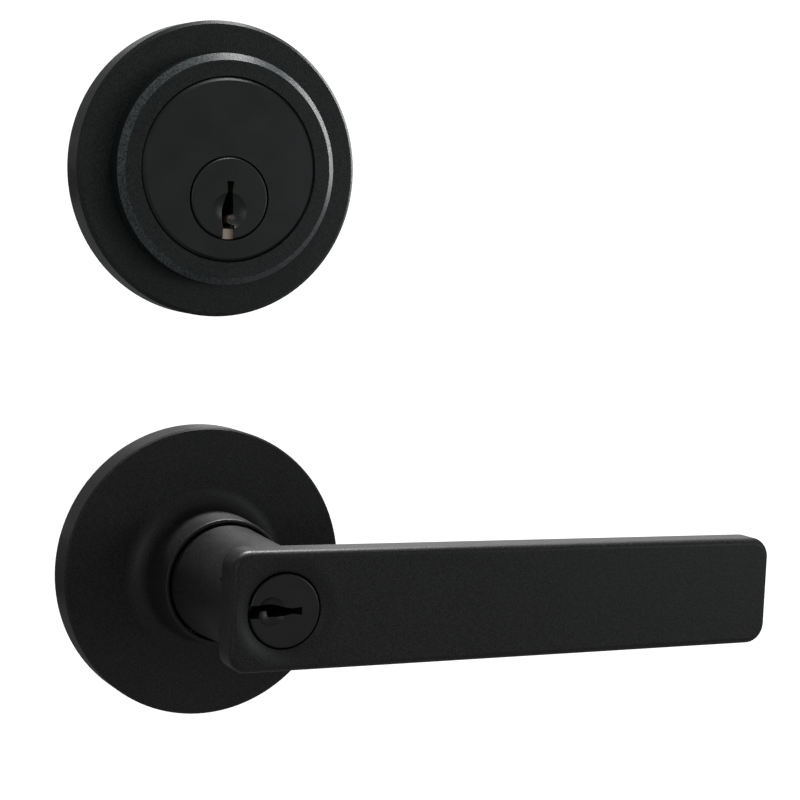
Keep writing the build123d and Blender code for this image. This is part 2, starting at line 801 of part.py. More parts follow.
def make_guard_collar():
    """Free-turning ring round the cylinder, which spins under a wrench."""
    section = [
        (19.3, -7.9),
        (25.85, -7.9),
        (25.85, -12.4),
        (24.25, -14.0),
        (FACE_R + 0.25, -14.0),
        (FACE_R + 0.25, -11.1),
        (19.3, -11.1),
    ]
    with BuildPart() as collar:
        revolve(make_section(section, SPACING), axis=turn_axis(SPACING))
    return collar


def make_deadbolt_cylinder():
    """Cylinder housing: the round face, the body under the trim, two tapped posts and the pin chambers."""
    chamber_top = TURN_Z + 17.5
    rear = 9.0
    holes = make_pin_holes(DEADBOLT_PIN_Y, TURN_Z, PLUG_R - 0.5, 20, "z")
    with BuildPart() as body:
        section = [
            (0, FACE_Y),
            (FACE_R - 0.7, FACE_Y),
            (FACE_R, FACE_Y + 0.7),
            (FACE_R, -11.35),
            (19.0, -11.35),
            (19.0, -6.0),
            (26.0, -6.0),
            (26.0, -2.0),
            (0, -2.0),
        ]
        revolve(make_section(section, SPACING), axis=turn_axis(SPACING))
        with Locations(facing_out(rear, TURN_Z)):
            Cylinder(8.2, rear + 2.5, align=LOW)
        with Locations((0, (rear - 2.5) / 2, (TURN_Z + chamber_top) / 2)):
            Box(10, rear + 2.5, chamber_top - TURN_Z)
        posts = (facing_out(8.5, SPACING + SCREW_OFFSET), facing_out(8.5, SPACING - SCREW_OFFSET))
        with Locations(*posts):
            Cylinder(3.9, 11, align=LOW)
        with Locations(*posts):
            Cylinder(2.03, 10.5, align=LOW, mode=Mode.SUBTRACT)
        with Locations(facing_out(rear + 1, TURN_Z)):
            Cylinder(PLUG_R + RUN, 30, align=LOW, mode=Mode.SUBTRACT)
        with Locations(facing_out(FACE_Y + 2.7, TURN_Z)):
            Cylinder(DEADBOLT_PLUG_HOLE_R, 4, align=LOW, mode=Mode.SUBTRACT)
        add(holes.part, mode=Mode.SUBTRACT)
        # channel above the chambers, closed by the cap strip
        with Locations((0, -0.7, chamber_top + 5)):
            Box(4.4, 19.3, 11.2, mode=Mode.SUBTRACT)
    return body


def make_deadbolt_chamber_cap():
    with BuildPart() as cap:
        with Locations((0, -0.7, TURN_Z + 17.5 - 0.3)):
            Box(4.3, 19.2, 0.58)
    return cap


def make_deadbolt_tailpiece():
    front, back = 9.4, DOOR + 4.0
    with BuildPart() as tail:
        with Locations((0, (front + back) / 2, TURN_Z)):
            Box(TAIL_T, back - front, TAIL_W)
    return tail


def make_backing_plate():
    with BuildPart() as plate:
        with BuildSketch(facing_out(0, SPACING)):
            Circle(CHASSIS_R - 0.2)
            Circle(18.6, mode=Mode.SUBTRACT)
            with Locations((0, SCREW_OFFSET), (0, -SCREW_OFFSET)):
                Circle(4.1, mode=Mode.SUBTRACT)
        extrude(amount=1.9)
    return plate


DEADBOLT_CASE = {
    "centre_z": SPACING,
    "front": MID - 7.0,
    "back": MID + 7.0,
    "right": 19.5,
    "bottom": -14.5,
    "top": 17.0,
    "hub_z": TURN_Z,
    "hub_r": 5.0,
    "window": (1.0, 9.6),
    "rivets": [(15.2, -10.6), (-14.0, -10.6)],
}
BOLT_FRONT, BOLT_BACK = EDGE_X - 0.2, -24.0
BOLT_H, BOLT_W = 19.0, 14.5


def make_deadbolt_opening():
    with BuildSketch() as opening:
        RectangleRounded(BOLT_W + 0.5, BOLT_H + 0.5, 3.2)
    return opening


def make_deadbolt_bolt():
    with BuildPart() as bolt:
        with BuildSketch(facing_edge(BOLT_BACK, SPACING)):
            RectangleRounded(BOLT_W, BOLT_H, 4.6)
        extrude(amount=BOLT_BACK - BOLT_FRONT)
        chamfer(bolt.faces().sort_by(Axis.X)[0].edges(), 0.5)
        with Locations(facing_edge(BOLT_BACK - 9, SPACING)):
            Cylinder(3.15, 24, align=LOW, mode=Mode.SUBTRACT)
        with Locations((BOLT_BACK, MID, SPACING)):
            Box(18.4, 3.1, 20, mode=Mode.SUBTRACT)
    return bolt


def make_hardened_insert():
    with BuildPart() as insert:
        with Locations(facing_edge(BOLT_BACK - 9.4, SPACING)):
            Cylinder(3.08, 23, align=LOW)
    return insert


def make_deadbolt_tail():
    """Drive plate of the bolt; the crank's peg works in the fork at its end."""
    fork_x, half, fork_floor = 12.7, 2.75, 3.7
    with BuildPart() as tail:
        with BuildSketch(facing_out(MID + 1.5, SPACING)):
            with BuildLine():
                Polyline(
                    (BOLT_BACK - 8.8, -6.0),
                    (BOLT_BACK + 1.0, -6.0),
                    (BOLT_BACK + 2.4, 1.6),
                    (fork_x + half + 2.0, 1.6),
                    (fork_x + half + 2.0, 15.0),
                    (fork_x + half, 15.0),
                    (fork_x + half, fork_floor),
                    (fork_x - half, fork_floor),
                    (fork_x - half, 15.0),
                    (fork_x - half - 2.2, 15.0),
                    (fork_x - half - 2.2, 9.0),
                    (BOLT_BACK - 8.8, 9.0),
                    close=True,
                )
            make_face()
        extrude(amount=3.0)
    return tail


def make_crank():
    """Hub with one arm and its peg, leaning 45 degrees towards the hinge side while the bolt is in."""
    peg = CRANK_R * cos(radians(45))
    with BuildPart() as crank:
        with Locations(facing_out(DEADBOLT_CASE["back"], TURN_Z)):
            Cylinder(DEADBOLT_CASE["hub_r"], 14.0, align=LOW)
        with Locations(facing_out(MID + 5.6, TURN_Z)):
            Cylinder(6.5, 11.2, align=LOW)
        with BuildSketch(facing_out(MID + 4.8, TURN_Z)):
            with Locations((peg / 2, peg / 2)):
                SlotCenterToCenter(CRANK_R, 6.8, rotation=45)
        extrude(amount=2.8)
        with Locations(facing_out(MID + 2.2, TURN_Z + peg, peg)):
            Cylinder(2.0, 4.2, align=LOW)
        with Locations((0, MID, TURN_Z)):
            Box(TAIL_T + 0.15, 20, TAIL_W + 0.2, mode=Mode.SUBTRACT)
    return crank


def make_case_rivets():
    """Four equal rivets with a head at each end, two through each case."""
    with BuildPart() as rivets:
        for case in (LATCH_CASE, DEADBOLT_CASE):
            for x, z in case["rivets"]:
                height = case["centre_z"] + z
                with Locations(facing_out(case["back"] + 0.4, height, x)):
                    Cylinder(RIVET_R, case["back"] - case["front"] + 0.8, align=LOW)
                with Locations(facing_out(case["back"] + 0.8, height, x)):
                    Cylinder(2.1, 0.78, align=LOW)
                with Locations(facing_out(case["front"] - 0.02, height, x)):
                    Cylinder(2.1, 0.78, align=LOW)
    return rivets


def make_deadbolt_inside_plate():
    with BuildPart() as plate:
        with BuildSketch(facing_out(DOOR + CHASSIS_T, SPACING)):
            Circle(CHASSIS_R - 0.2)
            with Locations((0, SCREW_OFFSET), (0, -SCREW_OFFSET)):
                Circle(2.3, mode=Mode.SUBTRACT)
            with Locations((0, TURN_Z - SPACING)):
                Circle(5.0 + RUN, mode=Mode.SUBTRACT)
        extrude(amount=CHASSIS_T)
    return plate


def make_deadbolt_inside_rose():
    section = [
        (ROSE_R - ROSE_WALL, DOOR),
        (ROSE_R, DOOR),
        (ROSE_R, DOOR + ROSE_T - 0.8),
        (ROSE_R - 0.8, DOOR + ROSE_T),
        (0, DOOR + ROSE_T),
        (0, DOOR + ROSE_T - ROSE_WALL),
        (ROSE_R - ROSE_WALL, DOOR + ROSE_T - ROSE_WALL),
    ]
    with BuildPart() as rose:
        revolve(make_section(section, SPACING), axis=turn_axis(SPACING))
        with Locations(facing_out(DOOR + 12, TURN_Z)):
            Cylinder(7.2, 12, align=LOW, mode=Mode.SUBTRACT)
    return rose


def make_thumbturn():
    """Upright paddle on a round foot while the bolt is in; its shaft takes the tailpiece."""
    foot = DOOR + ROSE_T + 0.25
    with BuildPart() as turn:
        with Locations(facing_out(foot, TURN_Z)):
            Cylinder(5.0, foot - DOOR + 2.4, align=LOW)
        with Locations(facing_out(foot, TURN_Z)):
            Cylinder(7.0, 3.9, align=LOW)
        with Locations(facing_out(foot + 3.0, TURN_Z)):
            Cylinder(12.0, 3.0, align=LOW)
        fillet(turn.faces().sort_by(Axis.Y)[-1].edges(), 0.6)
        with BuildSketch(facing_out(foot + 17.0, TURN_Z)):
            RectangleRounded(8.6, 34.0, 2.6)
        extrude(amount=14.5)
        fillet(turn.faces().sort_by(Axis.Y)[-1].edges(), 1.2)
        with Locations((0, DOOR, TURN_Z)):
            Box(TAIL_T + 0.15, 12, TAIL_W + 0.15, mode=Mode.SUBTRACT)
        groove = [(4.1, DOOR - 1.15), (6, DOOR - 1.15), (6, DOOR - 0.2), (4.1, DOOR - 0.2)]
        revolve(make_section(groove, TURN_Z), axis=turn_axis(TURN_Z), mode=Mode.SUBTRACT)
    return turn


def mirrored(outside):
    """The same piece on the inside of the door."""
    with BuildPart() as inside:
        mirror(outside.part, about=DOOR_MIDDLE)
    return inside


PIECES = {
    # lever, outside the door
    "outside_lever": make_outside_lever(),
    "lever_cylinder_shell": make_lever_cylinder_shell(),
    "lever_plug": make_plug(LEVER_PLUG_HEAD_R, -56.0, 2.9, -34.0, LEVER_PIN_Y, 0, "x", 3.1, 3.1, 2.9),
    "lever_key_pins": make_key_pins(LEVER_PIN_Y, 0, "x"),
    "lever_driver_pins": make_driver_pins(LEVER_PIN_Y, 0, LEVER_DRIVER_PIN, "x"),
    "lever_pin_springs": make_pin_springs(
        LEVER_PIN_Y, 0, PLUG_R + LEVER_DRIVER_PIN + 0.15, LEVER_CHAMBER_TOP - 0.65, "x"
    ),
    "lever_chamber_cap": make_lever_chamber_cap(),
    "lever_plug_clip": make_clip(-34.0, 0, 7.4, 4.25, 5.0),
    "lever_torque_blade": make_blade(),
    "lever_catch": make_catch(),
    "outside_rose": make_rose(),
    "outside_chassis": make_chassis(True),
    "outside_return_spring": make_return_spring(),
    "outside_drive_sleeve": make_drive_sleeve(),
    "square_spindle": make_spindle(),
    "collar_bearings": make_collar_bearings(),
    "sleeve_retaining_rings": make_retaining_rings(),
    # lever, inside the door
    "inside_lever": make_inside_lever(),
    "inside_set_screw": make_set_screw(),
    "turn_button": make_turn_button(),
    "inside_rose": mirrored(make_rose()),
    "inside_chassis": mirrored(make_chassis(False)),
    "inside_return_spring": mirrored(make_return_spring()),
    "inside_drive_sleeve": mirrored(make_drive_sleeve()),
    "through_screws": make_through_screws(),
    # spring latch
    "latch_faceplate": make_faceplate(0, make_latch_opening()),
    "latch_barrel": make_barrel(0),
    "latch_case": make_case(LATCH_CASE),
    "latch_case_cover": make_case_cover(LATCH_CASE),
    "latch_hub": make_latch_hub(),
    "latch_bolt": make_latch_bolt(),
    "latch_tail": make_latch_tail(),
    "latch_spring": make_bolt_spring(LATCH_BACK_X + 0.1, SPRING_END_X, MID, -5.2, 3.0, 9, 0.4),
    "deadlatch_plunger": make_plunger(),
    "plunger_spring": make_bolt_spring(LATCH_REST_X + 27.1, SPRING_END_X, MID + 8.15, 0, 1.3, 9, 0.25),
    "case_rivets": make_case_rivets(),
    # deadbolt, outside the door
    "deadbolt_rose": make_deadbolt_rose(),
    "cylinder_guard_collar": make_guard_collar(),
    "deadbolt_cylinder": make_deadbolt_cylinder(),
    "deadbolt_plug": make_plug(
        DEADBOLT_PLUG_HEAD_R, -14.7, 2.9, 9.2, DEADBOLT_PIN_Y, TURN_Z, "z", 4.1, 2.8, 1.1
    ),
    "deadbolt_key_pins": make_key_pins(DEADBOLT_PIN_Y, TURN_Z, "z"),
    "deadbolt_driver_pins": make_driver_pins(DEADBOLT_PIN_Y, TURN_Z, 4.4, "z"),
    "deadbolt_pin_springs": make_pin_springs(DEADBOLT_PIN_Y, TURN_Z, PLUG_R + 4.6, 16.85, "z"),
    "deadbolt_chamber_cap": make_deadbolt_chamber_cap(),
    "deadbolt_plug_clip": make_clip(9.2, TURN_Z, 7.4, 4.25, 5.0),
    "deadbolt_tailpiece": make_deadbolt_tailpiece(),
    "deadbolt_backing_plate": make_backing_plate(),
    # deadbolt mechanism
    "deadbolt_faceplate": make_faceplate(SPACING, make_deadbolt_opening()),
    "deadbolt_barrel": make_barrel(SPACING),
    "deadbolt_case": make_case(DEADBOLT_CASE),
    "deadbolt_case_cover": make_case_cover(DEADBOLT_CASE),
    "deadbolt_bolt": make_deadbolt_bolt(),
    "hardened_insert": make_hardened_insert(),
    "deadbolt_tail": make_deadbolt_tail(),
    "deadbolt_crank": make_crank(),
    # deadbolt, inside the door
    "deadbolt_inside_plate": make_deadbolt_inside_plate(),
    "deadbolt_inside_rose": make_deadbolt_inside_rose(),
    "thumbturn": make_thumbturn(),
    "thumbturn_clip": make_clip(DOOR - 1.15, TURN_Z, 7.0, 4.15, 5.0),
}

os.makedirs("parts", exist_ok=True)
for label, piece in PIECES.items():
    piece.part.label = label
    export_step(piece.part, f"parts/{label}.step")
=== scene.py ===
import json
import math

import bpy
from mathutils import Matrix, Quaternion, Vector


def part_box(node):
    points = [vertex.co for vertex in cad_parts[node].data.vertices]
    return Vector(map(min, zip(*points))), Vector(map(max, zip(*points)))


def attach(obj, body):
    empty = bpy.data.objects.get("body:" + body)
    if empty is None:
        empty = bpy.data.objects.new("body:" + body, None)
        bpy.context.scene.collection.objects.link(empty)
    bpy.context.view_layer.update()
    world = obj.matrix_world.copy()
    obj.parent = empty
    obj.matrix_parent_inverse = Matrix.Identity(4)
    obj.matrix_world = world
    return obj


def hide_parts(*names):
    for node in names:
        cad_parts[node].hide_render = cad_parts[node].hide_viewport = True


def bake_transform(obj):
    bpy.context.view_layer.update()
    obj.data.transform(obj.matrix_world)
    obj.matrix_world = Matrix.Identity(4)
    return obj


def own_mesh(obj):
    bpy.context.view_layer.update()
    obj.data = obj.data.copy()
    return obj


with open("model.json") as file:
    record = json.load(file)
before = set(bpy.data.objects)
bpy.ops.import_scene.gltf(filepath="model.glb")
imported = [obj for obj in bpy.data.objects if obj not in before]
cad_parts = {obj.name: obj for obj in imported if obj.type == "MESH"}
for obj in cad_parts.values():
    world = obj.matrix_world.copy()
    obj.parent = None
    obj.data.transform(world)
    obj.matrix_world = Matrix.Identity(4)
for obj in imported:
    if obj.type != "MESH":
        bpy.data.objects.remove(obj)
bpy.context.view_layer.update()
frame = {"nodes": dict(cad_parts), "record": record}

# Looks of the keyed lever and deadbolt set, round the imported CAD parts: materials, wire for four
# springs, stage, lights and camera. Metres, +Z up, the door's outside face in the plane y = 0 and
# the lever's turning axis through the origin, along Y.
MM = 0.001

scene = bpy.context.scene
nodes = frame["nodes"]

# The deadbolt's rings lie round a line parallel to Y at the first height, and its plug turns about
# one at the second.
rose_low, rose_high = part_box("deadbolt_rose")
DEADBOLT_Z = (rose_low.z + rose_high.z) / 2
plug_low, plug_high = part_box("deadbolt_plug")
DEADBOLT_PLUG_Z = (plug_low.z + plug_high.z) / 2


# ---------------------------------------------------------------- materials


class Shader:
    """A material under construction: its node tree, with short names for the nodes used here."""

    def __init__(self, name, metallic, roughness, colour, **fixed):
        self.material = bpy.data.materials.new(name)
        self.material.use_nodes = True
        self.tree = self.material.node_tree
        self.bsdf = self.tree.nodes["Principled BSDF"]
        self.bsdf.inputs["Metallic"].default_value = metallic
        self.bsdf.inputs["Roughness"].default_value = roughness
        self.bsdf.inputs["Base Color"].default_value = (*colour, 1)
        for socket, value in fixed.items():
            self.bsdf.inputs[socket.replace("_", " ")].default_value = value
        self.place = self.tree.nodes.new("ShaderNodeTexCoord").outputs["Object"]

    def put(self, value, socket):
        """Links an output to a socket, or sets the socket to a plain value."""
        if isinstance(value, bpy.types.NodeSocket):
            self.tree.links.new(value, socket)
        else:
            socket.default_value = value

    def math(self, operation, a, b=0.0):
        node = self.tree.nodes.new("ShaderNodeMath")
        node.operation = operation
        self.put(a, node.inputs[0])
        self.put(b, node.inputs[1])
        return node.outputs[0]

    def moved(self, offset=(0, 0, 0), scale=(1, 1, 1)):
        """The place on the object, scaled and then moved."""
        node = self.tree.nodes.new("ShaderNodeMapping")
        self.put(self.place, node.inputs["Vector"])
        node.inputs["Location"].default_value = offset
        node.inputs["Scale"].default_value = scale
        return node.outputs[0]

    def noise(self, size, detail=2.0, stretch=(1, 1, 1), roughness=0.5):
        """Noise whose features are about size metres across, longer where stretch is below 1."""
        node = self.tree.nodes.new("ShaderNodeTexNoise")
        self.put(self.moved(scale=stretch), node.inputs["Vector"])
        node.inputs["Scale"].default_value = 1 / size
        node.inputs["Detail"].default_value = detail
        node.inputs["Roughness"].default_value = roughness
        return node.outputs["Fac"]

    def speckle(self, size):
        """Distance from the nearest of scattered points about size metres apart."""
        node = self.tree.nodes.new("ShaderNodeTexVoronoi")
        self.put(self.place, node.inputs["Vector"])
        node.inputs["Scale"].default_value = 1 / size
        return node.outputs["Distance"]

    def ramp(self, value, low, high, start=0.0, end=1.0):
        """Straight-line map of start..end to low..high, held at both ends."""
        node = self.tree.nodes.new("ShaderNodeMapRange")
        self.put(value, node.inputs["Value"])
        for socket, number in (("From Min", start), ("From Max", end), ("To Min", low), ("To Max", high)):
            node.inputs[socket].default_value = number
        return node.outputs["Result"]

    def mix(self, factor, a, b):
        node = self.tree.nodes.new("ShaderNodeMix")
        node.data_type = "RGBA"
        self.put(factor, node.inputs["Factor"])
        for value, socket in ((a, node.inputs["A"]), (b, node.inputs["B"])):
            self.put((*value, 1) if isinstance(value, tuple) else value, socket)
        return node.outputs["Result"]

    def radius(self, axis_z):
        """Distance from the line parallel to Y at that height, in metres."""
        apart = self.tree.nodes.new("ShaderNodeSeparateXYZ")
        self.put(self.moved(offset=(0, 0, -axis_z)), apart.inputs[0])
        x_squared = self.math("POWER", apart.outputs["X"], 2.0)
        z_squared = self.math("POWER", apart.outputs["Z"], 2.0)
        return self.math("SQRT", self.math("ADD", x_squared, z_squared))

    def along(self, axis):
        """Place along X, Y or Z, in metres."""
        apart = self.tree.nodes.new("ShaderNodeSeparateXYZ")
        self.put(self.place, apart.inputs[0])
        return apart.outputs[axis]

    def low_and_deep(self, axis_z, drops, depths):
        """1 below an axis and behind its front, fading in over a pair of drops and a pair of depths."""
        low = self.ramp(self.along("Z"), 1.0, 0.0, axis_z - drops[0], axis_z - drops[1])
        deep = self.ramp(self.along("Y"), 0.0, 1.0, depths[0], depths[1])
        return self.math("MULTIPLY", low, deep)

    def colour(self, value):
        self.put(value, self.bsdf.inputs["Base Color"])

    def rough(self, value):
        self.put(value, self.bsdf.inputs["Roughness"])

    def metal(self, value):
        self.put(value, self.bsdf.inputs["Metallic"])

    def bump(self, *layers):
        """Each layer is (height output, depth in metres); they are stacked."""
        normal = None
        for height, depth in layers:
            node = self.tree.nodes.new("ShaderNodeBump")
            node.inputs["Distance"].default_value = depth
            self.put(height, node.inputs["Height"])
            if normal is not None:
                self.put(normal, node.inputs["Normal"])
            normal = node.outputs["Normal"]
        self.put(normal, self.bsdf.inputs["Normal"])


def tinted(grey, tint):
    """A grey with its red, green and blue weighed by a tint."""
    return tuple(grey * t for t in tint)


UNTINTED = (1.0, 1.0, 1.0)
TEAL = (0.85, 1.02, 1.05)

# the coat's darkest and lightest grain, as shares of its grey, and the weights of its two noises
COAT_DARKEST, COAT_LIGHTEST = 0.1, 2.1
COAT_CLOUD_WEIGHT, COAT_GRAIN_WEIGHT = 0.12, 0.88
# a painted highlight band on the coat: its grey, and how far the band fades out in front and behind
SHEEN_GREY = 0.09
SHEEN_FADE_FRONT, SHEEN_FADE_BACK = 0.05 * MM, 0.1 * MM


def powder_coat(name, grey, tint=UNTINTED, roughness=0.45, sheen_band=None):
    """Satin black coat: fine orange peel, a finer grain and faint cloudiness.

    sheen_band gives the two ends, along Y, of a band painted lighter as a highlight.
    """
    s = Shader(name, 0.0, roughness, (grey, grey, grey), IOR=1.45)
    cloud = s.noise(14 * MM, detail=3)
    grain = s.noise(0.3 * MM, detail=2)
    peel = s.noise(0.9 * MM, detail=1)
    cloudy = s.math("MULTIPLY", cloud, COAT_CLOUD_WEIGHT)
    grainy = s.math("MULTIPLY", grain, COAT_GRAIN_WEIGHT)
    mottle = s.ramp(s.math("ADD", cloudy, grainy), 0.0, 1.0, 0.38, 0.62)
    coated = s.mix(mottle, tinted(grey * COAT_DARKEST, tint), tinted(grey * COAT_LIGHTEST, tint))
    if sheen_band:
        band_front, band_back = sheen_band
        # painted highlight: a speckled lighter band stands in for light caught on the bevel
        depth = s.along("Y")
        front = s.ramp(depth, 0.0, 1.0, band_front - SHEEN_FADE_FRONT, band_front)
        back = s.ramp(depth, 1.0, 0.0, band_back, band_back + SHEEN_FADE_BACK)
        sheen_speckle = s.ramp(s.noise(0.5 * MM, detail=4, roughness=0.7), 0.15, 1.0, 0.42, 0.6)
        sheen = s.math("MULTIPLY", s.math("MULTIPLY", front, back), sheen_speckle)
        s.colour(s.mix(sheen, coated, tinted(SHEEN_GREY, tint)))
    else:
        s.colour(coated)
    s.rough(s.ramp(s.math("ADD", cloud, grain), roughness - 0.06, roughness + 0.07, 0.6, 1.4))
    s.bump((peel, 0.02 * MM), (grain, 0.03 * MM))
    return s.material


RING_PITCH = 0.16 * MM
# At the foot of an upright key slot, bare brass shows on a ledge; higher up, on the lower half of the dimple
# round the slot, a speckled painted highlight in brass colour lies.
# Each is given by its drops below the plug's axis and its depths along Y.
LEDGE_DROPS, LEDGE_DEPTHS = (6.9 * MM, 6.8 * MM), (-13.75 * MM, -13.65 * MM)
DIMPLE_SHEEN_DROPS, DIMPLE_SHEEN_DEPTHS = (4.6 * MM, 3.4 * MM), (-13.9 * MM, -13.5 * MM)
BRASS_AND_SHEEN_COLOUR = (0.52, 0.42, 0.36)
BRASS_AND_SHEEN_METALLIC = 0.6


def turned_black(name, grey, axis_z, tint=UNTINTED, brass_foot_and_sheen=False):
    """Black plated brass with fine turning rings; brass_foot_and_sheen bares the brass at a key slot's foot
    and paints a highlight in brass colour above it.
    """
    s = Shader(name, 0.0, 0.36, (grey, grey, grey), IOR=1.5)
    rings = s.math("SINE", s.math("MULTIPLY", s.radius(axis_z), 2 * math.pi / RING_PITCH))
    cloud = s.noise(7 * MM, detail=3)
    grain = s.noise(0.15 * MM, detail=2)
    patches = s.ramp(cloud, 0.0, 1.0, 0.35, 0.65)
    plated = s.mix(patches, tinted(grey * 0.8, tint), tinted(grey * 1.2, tint))
    if brass_foot_and_sheen:
        ledge = s.low_and_deep(axis_z, LEDGE_DROPS, LEDGE_DEPTHS)
        # painted highlight: the lower half of the dimple gets speckled brass colour standing in for light
        # caught there
        dimple_sheen = s.low_and_deep(axis_z, DIMPLE_SHEEN_DROPS, DIMPLE_SHEEN_DEPTHS)
        sheen_speckle = s.ramp(s.noise(0.6 * MM, detail=3), 0.0, 0.55, 0.35, 0.65)
        brass_and_sheen = s.math("MAXIMUM", ledge, s.math("MULTIPLY", dimple_sheen, sheen_speckle))
        s.colour(s.mix(brass_and_sheen, plated, BRASS_AND_SHEEN_COLOUR))
        s.metal(s.math("MULTIPLY", brass_and_sheen, BRASS_AND_SHEEN_METALLIC))
    else:
        s.colour(plated)
    s.rough(s.ramp(s.math("ADD", cloud, grain), 0.3, 0.42, 0.6, 1.4))
    s.bump((rings, 0.0015 * MM), (grain, 0.006 * MM))
    return s.material


def cast_zinc():
    s = Shader("cast_zinc", 0.9, 0.5, (0.42, 0.43, 0.44))
    cloud = s.noise(6 * MM, detail=4)
    pits = s.speckle(0.8 * MM)
    skin = s.noise(0.35 * MM, detail=3)
    s.colour(s.mix(s.ramp(cloud, 0.0, 1.0, 0.35, 0.7), (0.3, 0.305, 0.31), (0.52, 0.53, 0.54)))
    s.rough(s.ramp(cloud, 0.42, 0.62, 0.3, 0.7))
    s.bump((skin, 0.03 * MM), (s.ramp(pits, 0.0, 1.0, 0.0, 0.2), 0.02 * MM))
    return s.material


def turned_brass(name, low, high):
    """Brass between two colours, with lines that run round its length along Y."""
    s = Shader(name, 1.0, 0.28, high)
    cloud = s.noise(4 * MM, detail=3)
    lines = s.noise(0.18 * MM, detail=2, stretch=(0.15, 1, 0.15))
    s.colour(s.mix(s.ramp(cloud, 0.0, 1.0, 0.35, 0.7), low, high))
    s.rough(s.ramp(lines, 0.2, 0.38, 0.3, 0.7))
    s.bump((lines, 0.006 * MM))
    return s.material


def plated_steel(name, low, high, stretch):
    """Steel cloudy between two colours, with a grain drawn out where stretch is below 1."""
    s = Shader(name, 1.0, 0.34, high)
    cloud = s.noise(9 * MM, detail=3)
    lines = s.noise(0.25 * MM, detail=3, stretch=stretch)
    s.colour(s.mix(s.ramp(cloud, 0.0, 1.0, 0.35, 0.68), low, high))
    s.rough(s.ramp(lines, 0.26, 0.44, 0.3, 0.7))
    s.bump((lines, 0.008 * MM))
    return s.material


def moulded_plastic():
    s = Shader("moulded_acetal", 0.0, 0.5, (0.6, 0.59, 0.55), IOR=1.48)
    cloud = s.noise(5 * MM, detail=2)
    skin = s.noise(0.3 * MM, detail=2)
    s.colour(s.mix(cloud, (0.52, 0.51, 0.47), (0.66, 0.65, 0.61)))
    s.rough(s.ramp(skin, 0.42, 0.6, 0.3, 0.7))
    s.bump((skin, 0.01 * MM))
    return s.material


ROLLED_ALONG_X = (0.12, 1, 1)
EVEN_GRAIN = (1, 1, 1)
collar_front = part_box("cylinder_guard_collar")[0].y

COAT = powder_coat("satin_black_coat", 0.0105)
# painted shade: the roses get a darker copy of the lever's coat, standing in for the less light they catch
SHADED_ROSE_COAT = powder_coat("satin_black_rose_shaded", 0.0095, roughness=0.5)
DEADBOLT_COAT = powder_coat("satin_black_deadbolt", 0.0085, tint=TEAL, roughness=0.38)
# the guard collar's bevel carries a painted highlight band
COLLAR_COAT = powder_coat(
    "satin_black_guard_collar",
    0.0085,
    tint=TEAL,
    roughness=0.36,
    sheen_band=(collar_front + 0.1 * MM, collar_front + 1.6 * MM),
)
LEVER_PLUG = turned_black("plated_lever_plug", 0.010, 0.0)
DEADBOLT_FACE = turned_black("plated_deadbolt_face", 0.009, DEADBOLT_Z, tint=TEAL)
DEADBOLT_PLUG = turned_black("plated_deadbolt_plug", 0.009, DEADBOLT_PLUG_Z, tint=TEAL, brass_foot_and_sheen=True)
ZINC = cast_zinc()
BRASS = turned_brass("turned_brass", (0.46, 0.3, 0.12), (0.66, 0.48, 0.24))
# painted shade: the lever cylinder's shell and key pins are brass darkened to near black, so that what shows
# through the key slot reads as shade
SHADE_DARK_BRASS = turned_brass("painted_shade_brass", (0.012, 0.011, 0.01), (0.03, 0.027, 0.023))
STEEL_FLAT = plated_steel("plated_steel", (0.45, 0.46, 0.48), (0.62, 0.6, 0.56), ROLLED_ALONG_X)
STEEL_WIRE = plated_steel("spring_wire", (0.3, 0.3, 0.31), (0.44, 0.44, 0.44), EVEN_GRAIN)
STEEL_HARD = plated_steel("hardened_steel", (0.16, 0.16, 0.18), (0.27, 0.27, 0.29), ROLLED_ALONG_X)
ACETAL = moulded_plastic()

BY_SLOT = {
    "satin_black": COAT,
    "black_cylinder": DEADBOLT_FACE,
    "die_cast_zinc": ZINC,
    "brass": BRASS,
    "bearing_plastic": ACETAL,
    "spring_steel": STEEL_WIRE,
    "plated_steel": STEEL_FLAT,
    "hardened_steel": STEEL_HARD,
}
# nodes that look different from the rest of their slot
BY_NODE = {
    "outside_rose": SHADED_ROSE_COAT,
    "inside_rose": SHADED_ROSE_COAT,
    "deadbolt_rose": DEADBOLT_COAT,
    "cylinder_guard_collar": COLLAR_COAT,
    "deadbolt_inside_rose": DEADBOLT_COAT,
    "lever_plug": LEVER_PLUG,
    "lever_cylinder_shell": SHADE_DARK_BRASS,
    "lever_key_pins": SHADE_DARK_BRASS,
    "deadbolt_plug": DEADBOLT_PLUG,
}


def finish_node(name, slot):
    """Gives a CAD node its material, on the object so that its mesh data stays as packed."""
    node = nodes[name]
    for material_slot in node.material_slots:
        material_slot.link = "OBJECT"
        material_slot.material = BY_NODE.get(name, BY_SLOT[slot])


for row in frame["record"]["subparts"]:
    finish_node(row["node"], row["material_slot"])


# ---------------------------------------------------------------- springs


def add_mesh(name, vertices, faces, material, smooth=False):
    mesh = bpy.data.meshes.new(name)
    mesh.from_pydata(vertices, [], faces)
    mesh.validate()
    mesh.polygons.foreach_set("use_smooth", [smooth] * len(mesh.polygons))
    mesh.materials.append(material)
    piece = bpy.data.objects.new(name, mesh)
    scene.collection.objects.link(piece)
    return piece


WIRE_SIDES = 10


